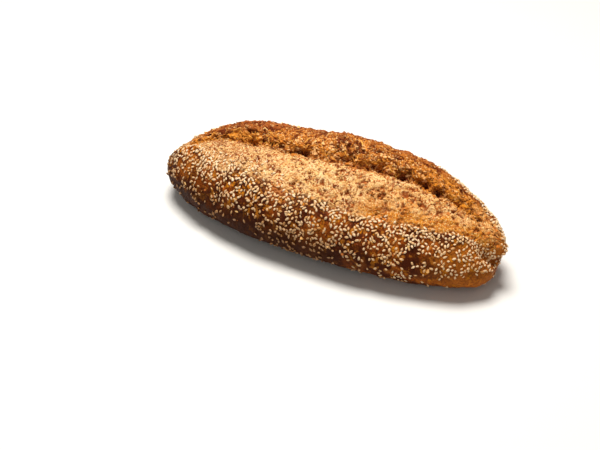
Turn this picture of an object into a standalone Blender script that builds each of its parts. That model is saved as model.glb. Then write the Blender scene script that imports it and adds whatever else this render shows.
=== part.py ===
"""A protein bread loaf: one long oval wholegrain loaf, scored along its top and strewn with sesame seeds.

The loaf lies along X, stands on its flat underside at z = 0 and is centred on the origin.
Its near flank faces -Y. The score runs along the top, between a smooth slab of crust that rises
from the near flank and a craggy ridge that stands behind it.
"""

import bpy
import bmesh
import numpy as np
from mathutils import Matrix, Vector

# Driving dimensions, in metres
LENGTH = 0.296
WIDTH = 0.115
RIDGE_HEIGHT = 0.0805
LIP_HEIGHT = 0.0745
SEAM_HEIGHT = 0.0580
FAR_SEAM_HEIGHT = 0.0650
BELLY_HEIGHT = 0.0245
LEFT_TIP_HEIGHT = 0.0265
RIGHT_TIP_HEIGHT = 0.0250
SPLIT_DEPTH = 0.0085
SPLIT_WIDTH = 0.0150
LARGE_CRAG = 0.0095
SMALL_CRAG = 0.0062
CRAG_HEIGHT = 0.0032
LUMP_HEIGHT = 0.0011
SEED_LENGTH = 0.0032
SEED_WIDTH = 0.0020
SEED_THICKNESS = 0.0013
# A seed's sections: place along its length and radius, both as shares of its full size
SEED_SECTIONS = ((-0.24, 0.46), (0.20, 0.42))
SEED_SIDES = 5

# Shares of the half width at which the named lines of a section lie
FOOT_SHARE = 0.52
SEAM_SHARE = 0.60
LEFT_SEAM_SHARE = 0.34
RIDGE_SHARE = 0.44
FAR_SEAM_SHARE = 0.80

# The plan is an oval whose power changes from the left end to the right one
LEFT_PLAN_POWER = 2.1
RIGHT_PLAN_POWER = 2.3

# Deep hollows along the foot of the torn wall: place along the loaf, half length and depth
HOLLOWS = (
    (-0.072, 0.0065, 0.0050), (-0.026, 0.0085, 0.0072), (0.013, 0.0050, 0.0045), (0.041, 0.0048, 0.0048),
    (0.061, 0.0062, 0.0070), (0.079, 0.0052, 0.0068), (0.091, 0.0058, 0.0074), (0.107, 0.0050, 0.0044),
)

# Moves the finished loaf so that the middle of its outer size stands over the origin
CENTRING = (-0.00095, -0.00060, 0)

# How finely the skin is divided, and how many of the seeds are large enough to stand on it
RINGS = 68
STEPS_ROUND = (3, 4, 4, 2, 3, 6, 5, 2, 3, 2)
END_CROWDING = 0.55
SEEDS = 172
SEED_CLEARANCE = 0.0075
SEED_SUNK = 0.00012

LINES = ("near_foot", "near_belly", "near_seam", "lip", "split", "wall", "ridge", "far_seam", "far_belly", "far_foot")
# Direction of travel at each line, in degrees from +Y, and how far that direction holds
TRAVEL = {
    "near_foot": (166, 0.80), "near_belly": (90, 1.00), "near_seam": (40, 0.90), "lip": (-4, 0.60),
    "split": (5, 0.60), "wall": (50, 0.60), "ridge": (-9, 0.95), "far_seam": (-56, 0.90),
    "far_belly": (-90, 1.00), "far_foot": (-166, 0.80),
}


def fade(share, power, exponent):
    """1 in the middle of the loaf, falling to 0 at both tips."""
    return np.maximum(1 - np.abs(share) ** power, 1e-12) ** exponent


def swell(value, centre, reach):
    """A smooth bump of height 1 round a centre."""
    return np.exp(-((value - centre) / reach) ** 2)


def ramp(value, start, end):
    """0 before start, 1 after end, and a smooth step between them."""
    t = np.clip((value - start) / (end - start), 0, 1)
    return t * t * (3 - 2 * t)


def section_lines(x):
    """The (y, z) places of the ten named lines at each place x along the loaf."""
    share = np.clip(x / (LENGTH / 2), -1, 1)
    rightness = share * 0.5 + 0.5
    plan = LEFT_PLAN_POWER + (RIGHT_PLAN_POWER - LEFT_PLAN_POWER) * rightness
    half = WIDTH / 2 * fade(share, plan, 1 / plan)
    near_half = half * (0.980 - 0.045 * swell(x, -0.105, 0.040) - 0.022 * swell(x, 0.090, 0.030))
    tip = LEFT_TIP_HEIGHT + (RIGHT_TIP_HEIGHT - LEFT_TIP_HEIGHT) * rightness

    def raised(height, rise):
        return tip + (height - tip) * rise

    foot_z = np.maximum(tip * (1 - fade(share, 7, 0.5)) - 0.0006, 0)
    belly_z = raised(BELLY_HEIGHT, fade(share, 6, 1))
    seam_wave = 0.0035 * swell(x, -0.060, 0.030) + 0.0035 * swell(x, -0.118, 0.016) - 0.0045 * swell(x, 0.050, 0.028)
    seam_z = raised(SEAM_HEIGHT + seam_wave, fade(share, 5, 0.6))
    seam_share = SEAM_SHARE - (SEAM_SHARE - LEFT_SEAM_SHARE) * np.clip((-x - 0.040) / 0.080, 0, 1) ** 1.5
    lip_wave = 1 - 0.085 * swell(x, -0.045, 0.035) + 0.035 * swell(x, 0.070, 0.035)
    lip_z = raised(LIP_HEIGHT, fade(share, 2.6, 0.60 - 0.16 * share) * lip_wave)
    opening = fade(np.clip(share / 0.93, -1, 1), 4, 1)
    lip_y = -0.0055 - 0.0034 * swell(x, -0.010, 0.032) + 0.0018 * swell(x, -0.094, 0.020)
    lip_y = lip_y + 0.0026 * swell(x, 0.070, 0.016) + 0.0030 * ramp(x, 0.085, 0.125)
    lip_y = lip_y * fade(share, 4, 0.5) + 0.0011 * smooth_noise(x[:, None] * [1, 0, 0], 0.011, 301) * opening
    depth = SPLIT_DEPTH * opening * (1 - 0.35 * swell(x, -0.015, 0.020))
    ridge_wave = 1 - 0.105 * swell(x, -0.046, 0.038) - 0.042 * swell(x, -0.026, 0.022)
    ridge_wave = ridge_wave + 0.020 * swell(x, 0.050, 0.040)
    ridge_z = raised(RIDGE_HEIGHT, fade(share, 2, 0.68 - 0.22 * rightness) * ridge_wave)
    far_wave = 1 - 0.060 * swell(x, -0.042, 0.024)
    far_z = raised(FAR_SEAM_HEIGHT, fade(share, 3.2, 0.75 - 0.08 * rightness) * far_wave)
    wall_z = lip_z - depth + 0.62 * (ridge_z - lip_z + depth)
    return {
        "near_foot": (-FOOT_SHARE * half, foot_z),
        "near_belly": (-near_half, belly_z),
        "near_seam": (-seam_share * half, seam_z),
        "lip": (lip_y, lip_z),
        "split": (lip_y + 0.50 * SPLIT_WIDTH * opening + 0.02 * half, lip_z - depth),
        "wall": (lip_y + 0.90 * SPLIT_WIDTH * opening + 0.05 * half, wall_z),
        "ridge": (RIDGE_SHARE * half, ridge_z),
        "far_seam": (FAR_SEAM_SHARE * half, far_z),
        "far_belly": (half, belly_z),
        "far_foot": (FOOT_SHARE * half, foot_z),
    }


def ring_points(x, steps):
    """Sections at the places x, each a closed line of smooth curves from one named line to the next."""
    lines = section_lines(x)
    stretches = []
    for name, following, count in zip(LINES, LINES[1:] + LINES[:1], steps):
        start = np.stack(lines[name], -1)[:, None]
        end = np.stack(lines[following], -1)[:, None]
        t = (np.arange(count) / count)[None, :, None]
        if name == "far_foot":
            stretches.append(start + (end - start) * t)
            continue
        reach = np.linalg.norm(end - start, axis=-1, keepdims=True)
        leave, hold = TRAVEL[name]
        arrive, hold_end = TRAVEL[following]
        leaving = reach * hold * np.array([np.cos(np.radians(leave)), np.sin(np.radians(leave))])
        arriving = reach * hold_end * np.array([np.cos(np.radians(arrive)), np.sin(np.radians(arrive))])
        stretches.append(
            (2 * t**3 - 3 * t**2 + 1) * start + (t**3 - 2 * t**2 + t) * leaving
            + (3 * t**2 - 2 * t**3) * end + (t**3 - t**2) * arriving
        )
    flat = np.concatenate(stretches, 1)
    along = np.broadcast_to(x[:, None, None], flat.shape[:2] + (1,))
    return np.concatenate([along, flat], -1)


def ring_normals(points):
    """The outward direction at each ring point, from its neighbours along and round the loaf."""
    along = np.gradient(points, axis=0)
    around = np.roll(points, -1, 1) - np.roll(points, 1, 1)
    normals = np.cross(along, around)
    return normals / np.maximum(np.linalg.norm(normals, axis=-1, keepdims=True), 1e-12)


def places_round(steps):
    """The place of each point round its section: 0 at the near foot, and 1 more at each named line."""
    return np.concatenate([line + np.arange(count) / count for line, count in enumerate(steps)])


def hashed(cell, salt):
    """A repeatable number from 0 to 1 for each whole-number cell of space."""
    mixed = cell[..., 0] * 73856093 ^ cell[..., 1] * 19349663 ^ cell[..., 2] * 83492791 ^ salt * 2654435761
    mixed = (mixed ^ (mixed >> 13)) * 1274126177
    return ((mixed ^ (mixed >> 16)) & 0xFFFFFF) / 0x1000000


def smooth_noise(points, size, salt):
    """Noise from -1 to 1: random values at the corners of cells of this size, blended between them."""
    scaled = points / size
    base = np.floor(scaled).astype(np.int64)
    part = scaled - base
    part = part * part * (3 - 2 * part)
    total = np.zeros(points.shape[:-1])
    for corner in np.ndindex(2, 2, 2):
        offset = np.array(corner)
        weight = np.prod(np.where(offset == 1, part, 1 - part), -1)
        total += weight * hashed(base + offset, salt)
    return total * 2 - 1


def pebbles(points, size, salt):
    """Rounded lumps from 0 to 1, one in each cell of space: 1 at a lump's middle, 0 in the gaps."""
    scaled = points / size
    base = np.floor(scaled).astype(np.int64)
    nearest = np.full(points.shape[:-1], 9.0)
    for offset in np.ndindex(3, 3, 3):
        cell = base + np.array(offset) - 1
        middle = cell + np.stack([hashed(cell, salt), hashed(cell, salt + 1), hashed(cell, salt + 2)], -1)
        nearest = np.minimum(nearest, np.sum((scaled - middle) ** 2, -1))
    return np.clip(1 - nearest / 0.75, 0, 1)


def end_lobes(x, y, z, seam_z):
    """How far the skin is moved along X at the tips.

    At the right tip the seam runs on as a deep notch, and an upper lobe stands out past the lower one.
    """
    near_right = ramp(x, 0.122, 0.146)
    upper = ramp(z, 0.0250, 0.0320) * ramp(y, -0.020, 0.004)
    notch = swell(z, np.maximum(seam_z - 0.0025, 0.0262), 0.0036) * ramp(x, 0.132, 0.1465)
    moved = near_right * 0.0046 * upper - 0.0060 * notch
    return moved - 0.0012 * ramp(-x, 0.115, 0.146)


def loaf_points(x, steps):
    """The loaf's skin: the plain sections, with soft lumps, the burst's crags and hollows and the end lobes."""
    points = ring_points(x, steps)
    normals = ring_normals(points)
    place = places_round(steps)[None]
    along = x[:, None]
    y, z = points[..., 1], points[..., 2]
    at_tip = ramp(np.abs(along), 0.1478, 0.1440)
    lumps = LUMP_HEIGHT * (smooth_noise(points, 0.042, 3) + 0.5 * smooth_noise(points, 0.021, 5))
    lumps = lumps * ramp(z, 0.004, 0.018)
    burst = ramp(place, 3.2, 4.3) * (1 - ramp(place, 6.4, 7.0)) * (1 - ramp(np.abs(along), 0.124, 0.143))
    crags = CRAG_HEIGHT * (0.55 * pebbles(points, LARGE_CRAG, 11) + 0.45 * pebbles(points, SMALL_CRAG, 17) - 0.5)
    crags = crags * (1 - 0.55 * ramp(place, 5.3, 6.2))
    hollows = sum(depth * swell(along, middle, reach) for middle, reach, depth in HOLLOWS)
    hollows = hollows * swell(place, 4.40, 0.42)
    # At the right end the seam pinches the skin between an upper lobe and a lower one
    seam_z = section_lines(x)["near_seam"][1][:, None]
    pinch = 0.0034 * ramp(along, 0.118, 0.144) * swell(z, seam_z, 0.0045) * (1 - ramp(y, 0.004, 0.024))
    low_lobe = 0.0032 * ramp(along, 0.110, 0.135) * swell(z, 0.016, 0.010) * (1 - ramp(y, -0.010, 0.010))
    low_lobe = low_lobe * ramp(z, 0.0002, 0.004)
    points = points + normals * ((lumps + burst * crags - pinch + low_lobe - hollows) * at_tip)[..., None]
    points[..., 0] += end_lobes(along, y, z, seam_z)
    return points


def skin_mesh(name, points):
    """A closed mesh of rings, with a fan of triangles to a pole at each end."""
    rings, sides = points.shape[:2]
    first_pole = rings * sides
    last_pole = first_pole + 1
    poles = [points[0].mean(0), points[-1].mean(0)]
    faces = []
    for ring in range(rings - 1):
        for side in range(sides):
            turned = (side + 1) % sides
            here, beside = ring * sides + side, ring * sides + turned
            faces.append((here, here + sides, beside + sides, beside))
    for side in range(sides):
        turned = (side + 1) % sides
        faces.append((first_pole, side, turned))
        faces.append((last_pole, (rings - 1) * sides + turned, (rings - 1) * sides + side))
    mesh = bpy.data.meshes.new(name)
    mesh.from_pydata(np.concatenate([points.reshape(-1, 3), poles]).tolist(), [], faces)
    work = bmesh.new()
    work.from_mesh(mesh)
    bmesh.ops.triangulate(work, faces=work.faces)
    bmesh.ops.recalc_face_normals(work, faces=work.faces)
    work.to_mesh(mesh)
    work.free()
    return mesh


def seed_mesh():
    """One sesame seed of unit length, width and thickness: a flat drop of few triangles, tip at +X."""
    stations = SEED_SECTIONS
    sides = SEED_SIDES
    turns = [2 * np.pi * side / sides for side in range(sides)]
    corners = [(-0.5, 0, 0)]
    for x, radius in stations:
        corners += [(x, radius * np.cos(turn), radius * np.sin(turn)) for turn in turns]
    corners.append((0.5, 0, 0))
    faces = []
    for side in range(sides):
        turned = (side + 1) % sides
        faces.append((0, 1 + turned, 1 + side))
        for ring in range(len(stations) - 1):
            here, beside = 1 + ring * sides + side, 1 + ring * sides + turned
            faces.append((here, beside, beside + sides))
            faces.append((here, beside + sides, here + sides))
        last = 1 + (len(stations) - 1) * sides
        faces.append((last + side, last + turned, len(corners) - 1))
    mesh = bpy.data.meshes.new("sesame_seed")
    mesh.from_pydata(corners, [], faces)
    return mesh


def seeded_weight(middle, normal):
    """How thickly seeds lie at a place: on both flanks above the foot, thinner low down, none on the burst."""
    lines = section_lines(np.array([middle.x]))
    near_seam_y, near_seam_z = lines["near_seam"][0][0], lines["near_seam"][1][0]
    far_seam_y = lines["far_seam"][0][0]
    on_near = middle.y < near_seam_y + 0.004 or middle.z < near_seam_z - 0.002
    on_far = middle.y > far_seam_y + 0.001
    if normal.z < -0.25 or not (on_near or on_far):
        return 0.0
    return float(ramp(middle.z, 0.008, 0.030)) * (0.75 if on_far else 1.0)


def seed_places(mesh, rng):
    """Seed middles and outward directions, drawn evenly over the seeded crust and kept apart."""
    mesh.calc_loop_triangles()
    triangles = list(mesh.loop_triangles)
    weights = np.array([tri.area * seeded_weight(tri_middle(mesh, tri), tri.normal) for tri in triangles])
    chances = weights / weights.sum()
    places = []
    while len(places) < SEEDS:
        tri = triangles[rng.choice(len(triangles), p=chances)]
        a, b = sorted(rng.random(2))
        corners = [mesh.vertices[index].co for index in tri.vertices]
        middle = corners[0] * a + corners[1] * (b - a) + corners[2] * (1 - b)
        if all((middle - other).length > SEED_CLEARANCE for other, normal in places):
            places.append((middle, tri.normal.copy()))
    return places


def tri_middle(mesh, tri):
    return sum((mesh.vertices[index].co for index in tri.vertices), Vector()) / 3


def strew_seeds(loaf):
    """Fuses the largest sesame seeds to the crust, each lying flat on it and turned at random."""
    rng = np.random.default_rng(41)
    shape = seed_mesh()
    seeds = bpy.data.collections.new("sesame_seeds")
    bpy.context.scene.collection.children.link(seeds)
    for middle, normal in seed_places(loaf.data, rng):
        seed = bpy.data.objects.new("sesame_seed", shape)
        spin = Matrix.Rotation(rng.uniform(0, 2 * np.pi), 4, "Z")
        tilt = Matrix.Rotation(rng.uniform(-0.12, 0.12), 4, "Y")
        grow = rng.uniform(0.92, 1.10)
        size = Matrix.Diagonal((SEED_LENGTH * grow, SEED_WIDTH * grow, SEED_THICKNESS * grow, 1))
        stand = normal.to_track_quat("Z", "Y").to_matrix().to_4x4()
        seed.matrix_world = Matrix.Translation(middle + normal * SEED_SUNK) @ stand @ spin @ tilt @ size
        seeds.objects.link(seed)
    fuse = loaf.modifiers.new("fuse_seeds", "BOOLEAN")
    fuse.operation = "UNION"
    fuse.operand_type = "COLLECTION"
    fuse.collection = seeds
    fuse.solver = "MANIFOLD"
    apply_modifiers(loaf)
    for seed in list(seeds.objects):
        bpy.data.objects.remove(seed)
    bpy.data.collections.remove(seeds)
    bpy.data.meshes.remove(shape)


def apply_modifiers(piece):
    """Replaces the object's mesh by the one that its modifiers make."""
    bpy.context.view_layer.update()
    graph = bpy.context.evaluated_depsgraph_get()
    finished = bpy.data.meshes.new_from_object(piece.evaluated_get(graph))
    plain = piece.data
    piece.modifiers.clear()
    piece.data = finished
    bpy.data.meshes.remove(plain)


def crust_material():
    """Baked wholegrain crust: warm brown and dull."""
    material = bpy.data.materials.new("baked_crust")
    material.use_nodes = True
    shader = material.node_tree.nodes["Principled BSDF"]
    shader.inputs["Base Color"].default_value = (0.36, 0.17, 0.06, 1)
    shader.inputs["Roughness"].default_value = 0.72
    shader.inputs["Metallic"].default_value = 0.0
    return material


def ring_places(count):
    """Places along the loaf, closer together toward the tips: equal steps of length and part of the width."""
    fine = -LENGTH / 2 * np.cos(np.linspace(0.006, np.pi - 0.006, 4000))
    half = section_lines(fine)["far_belly"][0]
    travelled = np.concatenate([[0], np.cumsum(np.hypot(np.diff(fine), END_CROWDING * np.diff(half)))])
    return np.interp(np.linspace(0, travelled[-1], count), travelled, fine)


def make_loaf():
    mesh = skin_mesh("loaf", loaf_points(ring_places(RINGS), STEPS_ROUND))
    loaf = bpy.data.objects.new("loaf", mesh)
    bpy.context.scene.collection.objects.link(loaf)
    strew_seeds(loaf)
    loaf.data.transform(Matrix.Translation(CENTRING))
    loaf.data.materials.clear()
    loaf.data.materials.append(crust_material())
    loaf.data.shade_smooth()
    loaf.data.set_sharp_from_angle(angle=np.radians(50))
    return loaf


def main():
    for item in list(bpy.data.objects):
        bpy.data.objects.remove(item)
    make_loaf()


main()
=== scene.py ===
"""A protein bread loaf: a long oval wholegrain loaf with a torn, craggy score and sesame seeds.

The loaf lies along X, stands on its flat underside at z = 0 and turns its seeded near flank to -Y.
A smooth floury slab of crust rises from the near flank to the lip of the score, and a craggy ridge of
torn crumb stands behind it. All surfaces are worked out as whole arrays from the same named lines.

A bump is given as its height, its centre and its reach. A pattern is given the size of its cells in metres,
and a salt, which is a number that tells it from every other pattern.
"""

import bpy
import numpy as np
from mathutils import Matrix


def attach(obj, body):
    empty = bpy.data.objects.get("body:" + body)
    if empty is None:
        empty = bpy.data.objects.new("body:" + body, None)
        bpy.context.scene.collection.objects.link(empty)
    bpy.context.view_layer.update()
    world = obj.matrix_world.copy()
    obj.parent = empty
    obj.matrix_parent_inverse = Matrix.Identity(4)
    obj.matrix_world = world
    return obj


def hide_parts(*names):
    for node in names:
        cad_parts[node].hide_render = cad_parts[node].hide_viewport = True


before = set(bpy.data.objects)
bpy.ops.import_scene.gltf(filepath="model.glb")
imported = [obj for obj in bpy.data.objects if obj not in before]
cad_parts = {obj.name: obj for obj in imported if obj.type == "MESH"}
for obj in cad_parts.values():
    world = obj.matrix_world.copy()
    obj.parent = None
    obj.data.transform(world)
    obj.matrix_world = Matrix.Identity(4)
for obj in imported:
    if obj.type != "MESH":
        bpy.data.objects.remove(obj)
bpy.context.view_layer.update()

# The loaf's own sizes, in metres
LENGTH = 0.296
WIDTH = 0.115
RIDGE_HEIGHT = 0.0805
LIP_HEIGHT = 0.0745
SEAM_HEIGHT = 0.0580
FAR_SEAM_HEIGHT = 0.0650
BELLY_HEIGHT = 0.0245
LEFT_TIP_HEIGHT = 0.0265
RIGHT_TIP_HEIGHT = 0.0250
LIP_Y = -0.0055
SPLIT_DEPTH = 0.0085
SPLIT_WIDTH = 0.0150
SEED_LENGTH = 0.0036
SEED_WIDTH = 0.0020
SEED_THICKNESS = 0.0013

# Shares of the half width at which the named lines of a section lie
NEAR_SHARE = 0.980
FOOT_SHARE = 0.52
SEAM_SHARE = 0.60
LEFT_SEAM_SHARE = 0.34
RIDGE_SHARE = 0.44
FAR_SEAM_SHARE = 0.80

# The plan is an oval whose power changes from the left end to the right one
LEFT_PLAN_POWER = 2.1
RIGHT_PLAN_POWER = 2.3

# Bumps of the named lines along the loaf: metres for the seam and the lip's path, shares for the others
NEAR_FLANK_BUMPS = ((-0.045, -0.105, 0.040), (-0.022, 0.090, 0.030))
SEAM_BUMPS = ((0.0035, -0.060, 0.030), (0.0035, -0.118, 0.016), (-0.0045, 0.050, 0.028))
LIP_BUMPS = ((-0.085, -0.045, 0.035), (0.035, 0.070, 0.035))
LIP_PATH_BUMPS = ((-0.0034, -0.010, 0.032), (0.0018, -0.094, 0.020), (0.0026, 0.070, 0.016))
SPLIT_BUMPS = ((-0.35, -0.015, 0.020),)
RIDGE_BUMPS = ((-0.105, -0.046, 0.038), (-0.042, -0.026, 0.022), (0.020, 0.050, 0.040))
FAR_SEAM_BUMPS = ((-0.060, -0.042, 0.024),)
# Grit and seeds stand proud of the crest, so the skin under them is settled by these bumps
SETTLED_BUMPS = ((0.0013, -0.068, 0.055), (0.0008, 0.116, 0.022))
# Deep hollows along the foot of the torn wall, and the depth at which one takes the full painted shade of the
# score
HOLLOW_BUMPS = (
    (0.0050, -0.072, 0.0065), (0.0072, -0.026, 0.0085), (0.0045, 0.013, 0.0050), (0.0048, 0.041, 0.0048),
    (0.0070, 0.061, 0.0062), (0.0068, 0.079, 0.0052), (0.0074, 0.091, 0.0058), (0.0044, 0.107, 0.0050),
)
PAINTED_SHADE_DEPTH = 0.0060

# The right tip has an upper lobe past a lower one, with a notch and a pinched seam between them
UPPER_LOBE = 0.0046
LOWER_LOBE = 0.0032
NOTCH_DEPTH = 0.0060
PINCH_DEPTH = 0.0034
LEFT_TUCK = 0.0012

# Torn crumb: lumps from crags down to grit, with pits and, at the left, long slits
LARGE_CRAG = 0.0095
SMALL_CRAG = 0.0062
CRAG_HEIGHT = 0.0032
CLOD = 0.0042
CLOD_HEIGHT = 0.0022
CRUMB = 0.0023
CRUMB_HEIGHT = 0.0018
GRIT = 0.0011
GRIT_HEIGHT = 0.00034
PIT_DEPTH = 0.0010
SPLIT_PIT_DEPTH = 0.0022
SLIT_DEPTH = 0.0040
RIDGE_DROP = 0.0004
TORN_SHIFT = 0.0007

# Heights and depths on the floury slab, its scalloped lip, the seeded skin and the loaf as a whole
SLAB_WAVE = 0.00060
SLAB_RIPPLE = 0.00044
SLAB_GRAIN = 0.00062
PINHOLE_DEPTH = 0.0009
RUST_DEPTH = 0.0016
SCALLOP = 0.0010
BLISTER = 0.00075
SMALL_BLISTER = 0.00050
LEATHER = 0.00035
LUMP_HEIGHT = 0.0011

# Moves the finished loaf so that the middle of its outer size stands over the origin
CENTRING = (-0.00095, -0.00060, 0)

# How finely the skin is divided, and how many small things lie on it
RINGS = 400
STEPS_ROUND = (14, 26, 38, 12, 24, 42, 38, 22, 16, 12)
SEEDS = 2230
SEED_SPACING = 0.0020
NUGGETS = 6400
BRAN_FLAKES = 4200
STRANDS = 400
STRAND_KNOTS = 8
STRAND_SIDES = 5

# Where the seeded skin ends above the near flank, as a place round the section: 2 is the near seam, 3 the lip
SEAM_X = (-0.148, -0.133, -0.116, -0.105, -0.090, -0.076, -0.065, -0.049, -0.039, -0.033, -0.021,
          -0.002, 0.021, 0.054, 0.073, 0.100, 0.111, 0.123, 0.135, 0.143, 0.148)
SEAM_PLACE = (4.50, 3.60, 2.25, 1.98, 1.98, 2.05, 2.13, 2.17, 2.17, 2.10, 1.98,
              2.03, 1.95, 1.98, 1.96, 1.98, 2.06, 2.14, 2.25, 2.12, 2.12)
# Where seeds begin again behind the ridge: 6 is the ridge, 7 the far seam
FAR_EDGE_X = (-0.148, -0.120, -0.100, 0.066, 0.084, 0.100, 0.112, 0.124, 0.134, 0.142)
FAR_EDGE_PLACE = (4.50, 6.40, 6.90, 6.90, 6.50, 6.36, 6.24, 6.10, 5.98, 5.74)

# The named lines in order round the section: the direction of travel at each, in degrees from +Y, and how far
# that direction holds
TRAVEL = {
    "near_foot": (166, 0.80), "near_belly": (90, 1.00), "near_seam": (40, 0.90), "lip": (-4, 0.60),
    "split": (5, 0.60), "wall": (50, 0.60), "ridge": (-9, 0.95), "far_seam": (-56, 0.90),
    "far_belly": (-90, 1.00), "far_foot": (-166, 0.80),
}
LINES = tuple(TRAVEL)

# Large odd numbers that mix a cell's counts and a salt into one repeatable number
MIXERS = (73856093, 19349663, 83492791, 2654435761, 1274126177)

# Colours of the seeded skin, as screen values from 0 to 255 like all colours here
DARK_BAKE = (74, 26, 6)
BROWN_BAKE = (152, 72, 10)
WARM_BAKE = (196, 110, 30)
OCHRE_BLOTCH = (206, 124, 22)
DARK_SPECK = (66, 24, 3)
BROWN_GRAIN = (88, 36, 8)
PALE_BLISTER = (212, 132, 42)
# Painted shade in the skin's hollows
SKIN_PAINTED_HOLLOW_SHADE = (52, 18, 3)
# Painted shade toward the foot
FOOT_PAINTED_SHADE = (48, 18, 2)
STRAY_FLOUR = (214, 146, 86)

# Colours of the floury slab
FLOUR_SHADE = (207, 153, 88)
FLOUR_LIGHT = (229, 188, 134)
THIN_FLOUR = (184, 134, 90)
THIN_SPECK = (128, 72, 38)
GOLDEN_CRUST = (200, 123, 20)
BRAN_BLOT = (166, 82, 30)
BRAN_SPECK = (156, 82, 30)
# Pale flour grains, partly painted glints
FLOUR_GRAIN_AND_GLINT = (252, 224, 162)
RUST_BROWN = (144, 58, 14)
# Painted shade in the slab's hollows
SLAB_PAINTED_HOLLOW_SHADE = (130, 62, 20)

# Colours of the torn crumb
DARK_CRUMB = (136, 60, 16)
BROWN_CRUMB = (194, 114, 40)
PALE_CRUMB = (222, 152, 72)
# Painted shade in the crumb's pores, then painted glints on its grit
CRUMB_PORE_PAINTED_SHADE = (104, 42, 12)
CRUMB_PAINTED_GLINT = (244, 188, 108)
GOLDEN_CRUMB = (218, 140, 30)
CROWN_BROWN = (142, 68, 28)
# Painted shade in the crumb's hollows
CRUMB_PAINTED_HOLLOW_SHADE = (92, 34, 8)
# Painted shade deep in the score
SPLIT_PAINTED_SHADE = (114, 40, 6)

# Colours of the loose flakes and strings of crumb
RED_FLAKE = (106, 40, 14)
GOLDEN_FLAKE = (206, 124, 38)
TAN_FLAKE = (250, 200, 134)
FLAKE_FLECK = (156, 80, 30)
DARK_STRAND = (160, 82, 20)
GOLDEN_STRAND = (240, 176, 74)

# Colours of the sesame seeds
SEED_SHADE = (230, 190, 138)
SEED_CREAM = (252, 234, 200)
SEED_TOAST = (196, 134, 62)
# Painted shade on seeds toward the foot
SEED_PAINTED_SHADE = (102, 56, 18)
SEED_FLECK = (200, 146, 82)

# Colours of the bran and grains in the flour
RED_BRAN = (124, 54, 24)
BROWN_HUSK = (196, 114, 52)
PALE_GRAIN = (240, 194, 124)
GOLDEN_HUSK = (200, 114, 20)
THIN_GRAIN = (168, 112, 68)
BRAN_FLECK = (150, 80, 34)

# Floor, lamps and sky
FLOOR_REACH = 6.0
FLOOR_COLOUR = (222, 221, 219)
FLOOR_ROUGHNESS = 0.9
LAMP_TARGET = (0, 0, 0.03)
KEY_LAMP = {"place": (-0.21, 0.16, 1.49), "size": 0.75, "watts": 34, "tint": (1.0, 0.97, 0.92)}
FILL_LAMP = {"place": (0.20, -1.10, 0.90), "size": 1.0, "watts": 2.5, "tint": (1.0, 0.97, 0.94)}
SKY_COLOUR = (1.0, 0.95, 0.87, 1)
SKY_STRENGTH = 0.22

# The camera, found from the photograph's perspective
CAMERA_PLACE = (0.30145, -0.6342, 0.5430)
CAMERA_TILT = 52.57
CAMERA_TURN = 27.30
CAMERA_LENS = 64.2
CAMERA_NEAR_CLIP = 0.01


def fade(share, power, exponent):
    """1 in the middle of the loaf and 0 at both tips: 1 less a power of the share, to the exponent."""
    return np.maximum(1 - np.abs(share) ** power, 1e-12) ** exponent


def swell(value, centre, reach):
    """A smooth bump of height 1 round a centre: a bell curve."""
    return np.exp(-((value - centre) / reach) ** 2)


def with_bumps(value, level, bumps):
    """A level with smooth bumps added to it."""
    for height, centre, reach in bumps:
        level = level + height * swell(value, centre, reach)
    return level


def ramp(value, start, end):
    """0 before start, 1 after end, and the smooth cubic step between them."""
    t = np.clip((value - start) / (end - start), 0, 1)
    return t * t * (3 - 2 * t)


def unit(vectors):
    """Vectors of the same directions and of length 1."""
    return vectors / np.maximum(np.linalg.norm(vectors, axis=-1, keepdims=True), 1e-12)


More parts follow.
